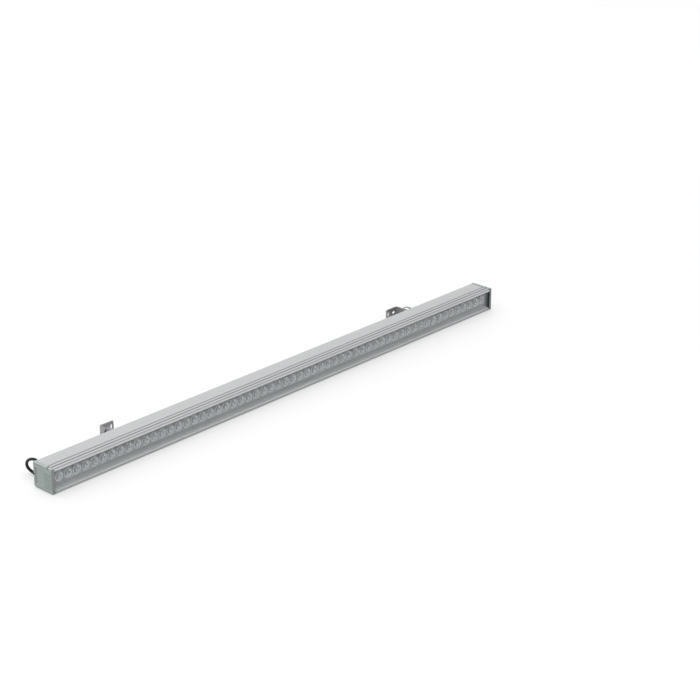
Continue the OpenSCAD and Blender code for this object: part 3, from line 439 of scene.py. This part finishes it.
FINE, TIGHT = 0.25, 0.15
outer_corners = [
    (-21, 0, 0.8), (21, 0, 4), (21, 17.7, FINE), (19.2, 17.7, TIGHT), (19.2, 16, TIGHT), (16, 16, FINE),
    (16, 24, FINE), (19.2, 24, TIGHT), (19.2, 22.3, TIGHT), (21, 22.3, FINE), (21, 40, 1.2),
    (-5.5, 40, FINE), (-5.5, 38.8, TIGHT), (-7.1, 38.8, TIGHT), (-7.1, 40, FINE), (-12.6, 40, FINE),
    (-12.6, 38.8, 0.2), (-14.8, 38.8, 0.2), (-14.8, 40, FINE), (-19.4, 40, 0.35), (-19.4, 37.8, 0.3),
    (-21, 37.8, 0.35), (-21, 35.4, FINE), (-16.8, 35.4, FINE), (-16.8, 37.1, TIGHT), (-12.2, 37.1, TIGHT),
    (-12.2, 35.4, FINE), (0, 35.4, 0.5), (0, 3.7, 0.5), (-12.2, 3.7, FINE), (-12.2, 2, TIGHT),
    (-16.8, 2, TIGHT), (-16.8, 3.7, FINE), (-21, 3.7, FINE)]
chamber_corners = [(3, 2, 0.4), (3, 38, 0.4), (19, 38, 0.4), (19, 25.2, 0.4), (14.8, 25.2, 0.4),
                   (14.8, 14.8, 0.4), (19, 14.8, 0.4), (19, 2, 0.4)]
outer_line, chamber_line = rounded(outer_corners), rounded(chamber_corners)
print("outline points", len(outer_line), "inside", len(chamber_line))

# %% Housing walls
HALF = 494.2  # half the housing's length
stations = np.array([-HALF, -170, 170, HALF])
n_out, n_in, rows = len(outer_line), len(chamber_line), len(stations)


def swept(line):
    """The outline at each station along X: rows are stations, columns run round the outline."""
    return np.stack(np.broadcast_arrays(stations[:, None], line[:, 0], line[:, 1]), -1)


shell_points = np.vstack([swept(outer_line).reshape(-1, 3), swept(chamber_line).reshape(-1, 3)])
outside_faces = grid_faces(rows, n_out, closed=True)[:, ::-1]
inside_faces = grid_faces(rows, n_in, closed=True)[:, ::-1] + rows * n_out
print("wall faces", len(outside_faces), "outside,", len(inside_faces), "inside")

# %% Housing ends
flat_lines = [[Vector((y, z, 0)) for y, z in line] for line in (outer_line, chamber_line)]
triangles = np.array(tessellate_polygon(flat_lines))
a, b, c = np.vstack([outer_line, chamber_line])[triangles].transpose(1, 0, 2)
clockwise = np.cross(b - a, c - a) < 0
triangles[clockwise] = triangles[clockwise][:, ::-1]
first_ring = np.concatenate([np.arange(n_out), rows * n_out + np.arange(n_in)])
last_ring = first_ring + np.repeat([(rows - 1) * n_out, (rows - 1) * n_in], [n_out, n_in])
end_faces = [*first_ring[triangles[:, ::-1]], *last_ring[triangles]]
print("end triangles", len(end_faces))

# %% Housing marks
FAR = 100
# each band: its mark, painted shade above nought and painted light below, and between which y and z in mm
# it lies
shaded_bands = {
    "two grooves in the top": (1.5, -14.9, -5.4, 38.7, 39.7),
    "ridge between them": (0.15, -12.7, -7.0, 39.7, FAR),
    "ledge below the pane": (-1.35, -20.9, -16.7, 3.4, 3.8),
    "front of the lower lip": (0.5, -FAR, -20.9, -FAR, 3.6),
    "front of the upper lip": (-0.55, -FAR, -19.3, 35.3, 37.9),
    "step above it": (0.6, -FAR, -19.3, 39.5, 39.8),
    "foot of the web behind the lenses": (0.5, -0.6, 0.1, 3.8, 4.4)}
# the chamber's floor is painted light at the pane and painted shade at the web
FLOOR_ENDS, FLOOR_MARKS = (-12.2, 0), (-1.5, 0.7)  # the chamber's floor, from the pane back to the web


def within(value, low, high):
    """True between low and high."""
    return (value > low) & (value < high)


def housing_marks(y, z):
    """The painted light and shade mark of each point: that of the band it lies in, or nought. The chamber's
    floor has a straight run of marks instead, from painted light at the pane to painted shade at the web."""
    marks = np.interp(y, FLOOR_ENDS, FLOOR_MARKS) * (within(y, -12.3, 0.1) & within(z, 3.4, 3.8))
    for mark, y_low, y_high, z_low, z_high in shaded_bands.values():
        marks = marks + mark * (within(y, y_low, y_high) & within(z, z_low, z_high))
    return marks


piece("housing_shell", shell_points * MM, [*outside_faces, *inside_faces, *end_faces], anodised,
      "housing", sharp=25, replaced="housing_profile",
      marks=housing_marks(shell_points[:, 1], shell_points[:, 2]))

# %% [markdown]
# ## The end caps
# Each cap is a block with soft outer edges and fine relief: a sunk panel, a knurled grip, a groove
# that ends in a dot, ribs along the rear edge, nicks and a notch. It could be carved with a cutter
# for each mark, but relief this shallow is simpler as a height field: the grid fills the cap's
# outline, and a point's depth is the sum of the edge rounding and of each piece of relief there.
# On the cap's face, v runs from the front edge to the rear one and w upwards, both in millimetres.

# %% Soft steps
LAMP_END, CAP_Y = 500, -21.5  # where the cap's outer face and its front edge lie
CAP_W, CAP_H, CAP_T = 43.0, 40.5, 5.0
CORNER_R, LOW_REAR_R, RIB_PITCH = 1.6, 4.5, 3.4


def step(low, high, value):
    """Smooth step from 0 to 1 between low and high: 3 t^2 - 2 t^3."""
    t = np.clip((value - low) / (high - low), 0, 1)
    return t * t * (3 - 2 * t)


def window(value, low, high, soft):
    """1 between low and high, falling to 0 over a soft edge inside: a step up times a step down."""
    return step(low, low + soft, value) * (1 - step(high - soft, high, value))


def edge_distance(v, w):
    """Distance inwards from the outline, a rectangle with rounded corners, the low rear one widest:
    near a corner the radius less the distance to the corner's centre, elsewhere that to the side."""
    r = np.where((v > CAP_W / 2) & (w < CAP_H / 2), LOW_REAR_R, CORNER_R)
    qy = np.abs(v - CAP_W / 2) - CAP_W / 2 + r
    qz = np.abs(w - CAP_H / 2) - CAP_H / 2 + r
    outside_part = np.hypot(np.maximum(qy, 0), np.maximum(qz, 0))
    return -(outside_part + np.minimum(np.maximum(qy, qz), 0) - r)


print("half way up a step from 0 to 2:", step(0, 2, 1.0))

# %% Cap relief
NICKS, NOTCH_V = (7.3, 13.3, 18.5, 25.4), 10.3  # where along v they stand
EDGE_ROUND, DEEPEST = 1.5, CAP_T - 0.05
# the depth in mm and the painted shade mark of each piece of relief
RELIEF = {"line": (0.65, 0.45), "dot": (0.7, 1), "ribs": (0.5, 0.5), "seam": (0.5, 1), "nicks": (0.8, 1)}


def relief_shares(v, w):
    """How much of each piece of relief a point has, from 0 to 1."""
    wave = np.sin(w * 2 * np.pi / RIB_PITCH)
    return {
        "line": window(v, 20.2, 37.9, 0.3) * window(w, 37.5, 38.9, 0.4),
        "dot": 1 - step(0.45, 0.95, np.hypot(v - 19.2, w - 37.4)),
        "ribs": window(v, 40.6, 44, 0.5) * step(-0.2, 0.6, wave) * window(w, 6, 34, 1),
        "seam": window(v, 5.6, 11, 0.8) * (1 - step(0.15, 0.55, np.abs(w - 37.8))),
        "nicks": sum(1 - step(0.35, 0.9, np.hypot(v - centre, (w - 1.2) * 0.7)) for centre in NICKS)}


def cap_depth(v, w):
    """How far a point of the outer face lies behind the outermost plane, in mm, and its mark of painted
    light and shade. The edges are a quarter round, the panel slopes in from below, and the knurl is cos x
    cos."""
    inwards = np.clip(edge_distance(v, w), 0, EDGE_ROUND)
    depth = EDGE_ROUND - np.sqrt(EDGE_ROUND ** 2 - (EDGE_ROUND - inwards) ** 2)
    panel = window(v, 19, 38.2, 0.35) * np.clip((w - 5.4) / 2.6, 0, 1) * (1 - step(32.95, 33.3, w))
    depth = np.maximum(depth, 1.2 * panel)
    grip = window(v, 1.8, 17.6, 0.6) * window(w, 4.6, 31.4, 0.6)
    knurl = step(0.3, 0.7, 0.5 + 0.5 * np.cos(2 * np.pi * v / 3.9) * np.cos(2 * np.pi * w / 3.6))
    depth = depth + 0.7 * grip * knurl
    # painted shade along the front edge, and on the knurl painted shade in its hollows and painted light on
    # its tops
    marks = 0.65 * (1 - step(0.3, 1.5, v)) + 0.95 * grip * (knurl - 0.5)
    for name, share in relief_shares(v, w).items():
        depth, marks = depth + RELIEF[name][0] * share, marks + RELIEF[name][1] * share
    # painted shade along the sunk panel's rim
    panel_floor = window(v, 18.4, 38.8, 1.3) * window(w, 5, 33.9, 1.3)
    marks = np.clip(marks + 1.8 * panel_floor * (1 - panel_floor), -0.7, 1)
    from_notch = np.where(w > CAP_H - 2, np.abs(v - NOTCH_V), np.hypot(v - NOTCH_V, w - CAP_H + 2))
    depth = np.maximum(depth, DEEPEST * (1 - step(1.35, 1.6, from_notch)))
    rear_slot = window(w, 17.5, 22.5, 0.3) * step(CAP_W - 2.95, CAP_W - 2.7, v)
    return np.minimum(np.maximum(depth, DEEPEST * rear_slot), DEEPEST), marks


# %% Cap surface
ACROSS = 124
near_edge, panel_top = np.array([0.02, 0.06, 0.12, 0.2]), np.array([32.9, 33.1, 33.3])
panel_sides = np.array([19, 19.2, 19.4, 37.8, 38, 38.2])


def spread(n):
    """n values from 0 to 1 that crowd towards both ends, where the rounding is: t less a small sine."""
    t = np.linspace(0, 1, n)
    return t - 0.2 * np.sin(2 * np.pi * t) / (2 * np.pi)


def corner_inset(radius, height):
    """How far a rounded corner lies inside the square one at a height above its edge: the radius less
    the other leg of the triangle whose long side is the radius and whose leg is radius - height."""
    return radius - np.sqrt(radius ** 2 - np.clip(radius - height, 0, radius) ** 2)


def cap_points(side):
    """Rows from bottom to top, each from the front outline to the scalloped rear one, and their marks."""
    w = np.sort(np.concatenate([spread(ACROSS) * CAP_H, near_edge, panel_top, CAP_H - near_edge]))
    front = corner_inset(CORNER_R, w) + corner_inset(CORNER_R, CAP_H - w)
    rear = corner_inset(LOW_REAR_R, w) + corner_inset(CORNER_R, CAP_H - w)
    rear = rear + 0.6 * window(w, 6, 34, 1.5) * (0.5 + 0.5 * np.sin(w * 2 * np.pi / RIB_PITCH))
    s = np.sort(np.concatenate([spread(ACROSS), panel_sides / CAP_W]))[None]
    v = front[:, None] + s * (CAP_W - front - rear)[:, None]
    ww = np.repeat(w[:, None], v.shape[1], 1)
    depth, marks = cap_depth(v, ww)
    return np.stack([side * (LAMP_END - depth), CAP_Y + v, ww], -1), marks


# %% Caps
def cap_shell(side):
    """The height field, a flat copy of its border on the inner plane, and the faces between them."""
    front, marks = cap_points(side)
    m, n = front.shape[:2]
    index = np.arange(m * n).reshape(m, n)
    border = np.concatenate([index[0, :-1], index[:-1, -1], index[-1, :0:-1], index[:0:-1, 0]])
    inner = front.reshape(-1, 3)[border]
    inner[:, 0] = side * (LAMP_END - CAP_T)
    copies = m * n + np.arange(len(border))
    walls = np.stack([border, copies, np.roll(copies, -1), np.roll(border, -1)], -1)
    faces = [*grid_faces(m, n)[:, ::-1], *walls, copies[::-1]]
    if side > 0:
        faces = [face[::-1] for face in faces]
    return np.vstack([front.reshape(-1, 3), inner]), faces, np.append(marks.ravel(), marks.ravel()[border])


for name, side in (("left", -1), ("right", 1)):
    points, faces, marks = cap_shell(side)
    piece("cap_" + name, points * MM, faces, cap_coat, "housing", sharp=60,
          replaced="end_cap_" + name, marks=marks)

# %% [markdown]
# ## Lenses and holders
# Fifty-nine clear lenses look out through the pane, one over each light source. A lens is a
# solid of revolution: a cone that turns the light forwards by inner reflection, a pocket over the
# light source, and a small lens sunk in the middle of its face. The holder is a grey cup. Both are
# turned once from an outline and copied to the 59 places within one mesh, which is lighter than 59
# objects. Extra rings on the lens's face carry its painted light and shade.

# %% Lens places
COUNT, PITCH, BOARD_Y, ROW_Z = 59, 16.58, -1.6, 20.95
OPTIC, SIDES = 10.7, 28  # how far the lens's face stands in front of the board, and its roundness
FACE_FROM = -8.9  # a point of a lens with a lower y than this belongs to its face
lens_x = (np.arange(COUNT) - COUNT // 2) * PITCH
lens_places = np.stack([lens_x, np.full(COUNT, BOARD_Y), np.full(COUNT, ROW_Z)], -1)
print("lenses from", round(lens_x[0], 2), "to", round(lens_x[-1], 2), "mm")

# %% Lens outline
BACK, POCKET = 1.05, 1.05 + 4.0  # the lens's back and the end of its pocket, in front of the board


def bowl(start, end, sag, n):
    """n points from start to end, bent away from the straight line by a parabola: sag x 4 t (1 - t)."""
    t = np.linspace(0, 1, n)[:, None]
    line = np.array(start) * (1 - t) + np.array(end) * t
    return line + np.array([sag, 0]) * 4 * t * (1 - t)


face_radii = [7.3, 6.8, 6.2, 5.2, 4.2, 3.6, 3.1]
lens_line = np.vstack([
    [[POCKET, 0.001]], bowl((POCKET, 0.6), (BACK, 2.0), 0.9, 5), [[BACK, 3.55]],
    bowl((1.15, 3.65), (OPTIC - 1.25, 6.25), -0.9, 6),
    [[OPTIC - 1.2, 7.4], [OPTIC - 1.1, 7.5], [OPTIC - 0.2, 7.5]],
    [[OPTIC, radius] for radius in face_radii],
    [[OPTIC - 0.1, 2.95], [OPTIC - 1.6, 2.6]], bowl((OPTIC - 1.6, 2.55), (OPTIC - 1.0, 0.001), 0.25, 5)])
lens_line[:, 0] *= -1
print("lens outline points", len(lens_line))

# %% Lenses
def lens_face_marks(points):
    """Painted light and shade on a lens: painted shade on its rim grows upwards, the zone inside it is
    painted darker from lower right to upper left and has one painted highlight, and painted shade on the
    core grows upwards. Its sides and back have none."""
    across, up = points[..., 0], points[..., 2]
    radius, on_face = np.hypot(across, up), points[..., 1] < FACE_FROM
    rim, zone, core = radius > 6.5, within(radius, 3.3, 6.5), window(radius, 2.5, 3.3, 0.2)
    rim_mark = -0.7 + 1.2 * np.clip(up / 7.5, -1, 0.4)
    zone_mark = 0.95 * step(-3, 3, up - across) - 0.15
    core_mark = 0.2 + 1.5 * np.clip(up / 3, -1, 0.3)
    marks = on_face * (rim * rim_mark + zone * zone_mark + core * core_mark)
    spark = 1 - step(0.6, 2.0, np.hypot(across - 2.6, up - 3.8))
    return np.maximum(marks - 2.4 * on_face * zone * spark, -1.6).ravel()


one_lens, one_faces = lathe(lens_line, SIDES)
points, faces = many(one_lens, one_faces, lens_places)
piece("clear_lenses", points * MM, faces, lens_plastic, "housing", sharp=40,
      replaced="lenses", marks=np.tile(lens_face_marks(one_lens), len(lens_places)))

# %% Holders
holder_line = np.array([
    (1.0, 2.6), (0, 2.6), (0, 5.3), (0.1, 5.4), (1.0, 5.4), (OPTIC - 2.4, 8.1), (OPTIC - 0.15, 8.1),
    (OPTIC, 7.95), (OPTIC, 7.7), (OPTIC - 0.1, 7.6), (OPTIC - 1.25, 7.6), (OPTIC - 1.3, 6.5), (1.15, 4.2),
    (1.0, 4.0)])
holder_line[:, 0] *= -1
points, faces = many(*lathe(holder_line, SIDES, loop=True), lens_places)
piece("lens_cups", points * MM, faces, holder_grey, "housing", sharp=40,
      replaced="lens_holders")

# %% [markdown]
# ## The gland
# A white plastic gland seals the cable's entry. Its dome nut has fine grip ribs and a rounded crown
# that the cable comes out of. It is turned like the lenses, and the ribs are a ripple in its radius,
# which is less work than cutting eighteen flutes and leaves no thin slivers.

# %% Gland dome
GLAND_PLACE = np.array([-482, 23.4, 31])
DOME_SIDES, RIBS, RIB_DEPTH = 144, 18, 0.045
crown = np.linspace(0.1, 1.4, 8)
dome_line = np.vstack([
    [[0, 2.95], [0, 5.0], [0.2, 5.2]], np.stack([np.linspace(0.5, 4.9, 9), np.full(9, 5.2)], -1),
    np.stack([5.1 + 2.4 * np.sin(crown), 3.4 + 1.8 * np.cos(crown)], -1),
    [[7.6, 3.3], [7.6, 2.6], [7.4, 2.36], [0, 2.36]]])


def ribbed(points, low, high):
    """Multiplies the radius by 1 - depth x a wave round the axis, between two places along it."""
    turn = np.arctan2(points[..., 0], points[..., 2])
    along = window(points[..., 1], low, high, 0.3)
    ripple = 1 - RIB_DEPTH * along * step(0.2, 0.8, 0.5 + 0.5 * np.cos(RIBS * turn))
    return points * np.stack([ripple, np.ones_like(ripple), ripple], -1)


points, faces = lathe(dome_line, DOME_SIDES, loop=True)
dome = ribbed(points, 0.4, 5.0) * MM + GLAND_PLACE * MM
piece("gland_dome", dome, faces, white_plastic, "housing", sharp=40, replaced="gland_cap")

# %% [markdown]
# ## Kept pieces with eased edges
# Brackets, screws and nuts already have their true shape in the frame, so nothing is drawn again. A
# copy of each gets its loose triangles merged into clean faces, and a narrow bevel so that its edges
# catch light, as the edges of stamped and turned steel do.

# %% Eased copies
JOIN, FLAT_WITHIN, SMOOTH_BELOW, BEVEL_ABOVE = 1e-6, 1.5, 32, 40  # metres, then three angles in degrees


def cleaned(mesh):
    """Merges loose triangles into faces: equal points become one, and flat neighbours one face."""
    shape = bmesh.new()
    shape.from_mesh(mesh)
    bmesh.ops.remove_doubles(shape, verts=shape.verts, dist=JOIN)
    bmesh.ops.dissolve_limit(shape, angle_limit=math.radians(FLAT_WITHIN), verts=shape.verts,
                             edges=shape.edges)
    shape.to_mesh(mesh)
    shape.free()
    mesh.shade_smooth()
    mesh.set_sharp_from_angle(angle=math.radians(SMOOTH_BELOW))


def eased(solid, body, material, width):
    """A cleaned copy of a frame node with a bevel of the given width in mm."""
    made = placed(solid + "_eased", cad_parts[solid].data.copy())
    cleaned(made.data)
    made.data.materials.clear()
    made.data.materials.append(material)
    bevel = made.modifiers.new("eased edges", "BEVEL")
    bevel.width = width * MM
    bevel.segments = 2
    bevel.limit_method = "ANGLE"
    bevel.angle_limit = math.radians(BEVEL_ABOVE)
    bevel.harden_normals = True
    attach(made, body)
    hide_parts(solid)


small_steel = (
    ("foot_screws", "foot", screw_steel, "screw_steel"), ("pivot_bolt", "foot", screw_steel, "screw_steel"),
    ("lock_screw", "arm", screw_steel, "screw_steel"), ("pivot_washers", "foot", nut_steel, "nut_steel"),
    ("pivot_nut", "foot", nut_steel, "nut_steel"), ("lock_nut", "arm", nut_steel, "nut_steel"))
for side in ("left", "right"):
    for half in ("foot", "arm"):
        eased(f"bracket_{half}_{side}", f"{half}_{side}", sheet_steel, 0.2)
    for name, half, material, slot in small_steel:
        eased(f"{name}_{side}", f"{half}_{side}", material, 0.12)

# %% [markdown]
# ## Finishes of the other pieces
# The pane, gaskets, boards and everything inside keep their frame meshes and only get a finish: their
# shape is right, and their edges are hidden or too small to see.

# %% Other finishes
kept = {
    pane_glass: ["window_pane"],
    silicone: ["pane_gasket_lower", "pane_gasket_upper"],
    end_rubber: ["end_gasket_left", "end_gasket_right"],
    board_grey: ["light_board_left", "light_board_middle", "light_board_right"],
    phosphor: ["leds"],
    screw_steel: ["board_screws"],
    cream_plastic: ["board_connectors"],
    board_green: ["driver_board"],
    core_grey: ["driver_transformer", "driver_inductor"],
    sleeve_blue: ["driver_capacitors"],
    chip_black: ["driver_chips"],
    terminal_green: ["driver_terminals"],
    white_plastic: ["gland_body", "gland_lock_nut"],
    rubber: ["gland_seal"],
    cable_skin: ["cable_entry"],
    lead_red: ["input_lead_red", "output_lead_red"],
    lead_black: ["input_lead_black", "output_lead_black"],
    nut_steel: ["slot_nuts_left", "slot_nuts_right"]}
for material, names in kept.items():
    for name in names:
        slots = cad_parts[name].data.materials
        slots.clear()
        slots.append(material)
print("finished nodes", sum(map(len, kept.values())))

# %% [markdown]
# ## Floor and light
# A product shot on white: a wide pale floor, a soft sky, and two broad lamps, one overhead and one in
# front. More light would make the floor white too, but it would bleach the lamp. For camera, mirror
# and glass rays the floor glows a little instead, more so further out where the lamps are weak,
# which lifts it to white but leaves the shadow.

# %% Floor
REACH, FLOOR_Z = 8, -0.0003
floor_mesh = bpy.data.meshes.new("floor")
floor_corners = [(x * REACH, y * REACH, FLOOR_Z) for x, y in ((-1, -1), (1, -1), (1, 1), (-1, 1))]
floor_mesh.from_pydata(floor_corners, [], [(0, 1, 2, 3)])
floor = placed("floor", floor_mesh)
print("floor", 2 * REACH, "m wide")

# %% Floor material
pale, tree, base = new_material("pale floor", Base_Color=(0.52, 0.52, 0.52, 1), Roughness=0.5,
                                Specular_IOR_Level=0.2)
ray = node(tree, "LightPath", {}).outputs
seen = ray["Is Camera Ray"]
for other_ray in ("Is Glossy Ray", "Is Transmission Ray"):
    seen = node(tree, "Math", {0: seen, 1: ray[other_ray]}, operation="MAXIMUM").outputs[0]
print("the floor glows for", sum(socket.is_linked for socket in ray), "kinds of ray")

# %% Floor glow
near_glow, far_glow = {"From Min": 0.6, "To Min": 0.385}, {"From Max": 2.2, "To Max": 0.47}
spot = node(tree, "TexCoord", {})
distance = node(tree, "VectorMath", {0: spot.outputs["Object"]}, operation="LENGTH")
fade = node(tree, "MapRange", {"Value": distance.outputs["Value"], **near_glow, **far_glow},
            interpolation_type="SMOOTHSTEP")
lift = node(tree, "Math", {0: seen, 1: fade.outputs["Result"]}, operation="MULTIPLY")
glow = node(tree, "Emission", {"Strength": lift.outputs[0]})
both = node(tree, "AddShader", {0: base.outputs[0], 1: glow.outputs[0]})
tree.links.new(both.outputs[0], tree.nodes["Material Output"].inputs["Surface"])
floor_mesh.materials.append(pale)
print("floor glow from", near_glow["To Min"], "to", far_glow["To Max"])

# %% World
BRIGHT_SIDE = (-0.30, 0.78, 0.55)
DIM, BRIGHT, TURN_OVER = 0.30, 1.05, 0.7  # the sky's two strengths, and how gradually one becomes the other
world = bpy.data.worlds.new("sky")
bpy.context.scene.world = world
world.use_nodes = True
tree = world.node_tree
sky = tree.nodes["Background"]
sky.inputs["Color"].default_value = (1, 1, 1, 1)
direction = node(tree, "TexCoord", {}).outputs["Generated"]
towards = node(tree, "VectorMath", {0: direction, 1: BRIGHT_SIDE}, operation="DOT_PRODUCT")
level = node(tree, "MapRange", {"Value": towards.outputs["Value"], "From Min": -TURN_OVER,
                                "From Max": TURN_OVER, "To Min": DIM, "To Max": BRIGHT})
ray = node(tree, "LightPath", {}).outputs
pick = node(tree, "Mix", {"Factor": ray["Is Camera Ray"], "A": level.outputs["Result"], "B": 1.0})
tree.links.new(pick.outputs["Result"], sky.inputs["Strength"])
print("sky from", DIM, "to", BRIGHT, "brightest towards", BRIGHT_SIDE)

# %% Lamps
def soft_lamp(name, place, size, power):
    """A square area lamp at a place, turned to the middle of the scene."""
    data = bpy.data.lights.new(name, "AREA")
    data.size = size
    data.energy = power
    lamp = placed(name, data)
    lamp.location = place
    lamp.rotation_euler = aimed(-Vector(place))


soft_lamp("top lamp", (-0.5, 0.4, 3.2), 2.4, 29)
soft_lamp("front lamp", (-0.8, -2.6, 1.8), 1.8, 30)
bpy.context.scene.view_settings.view_transform = "Standard"
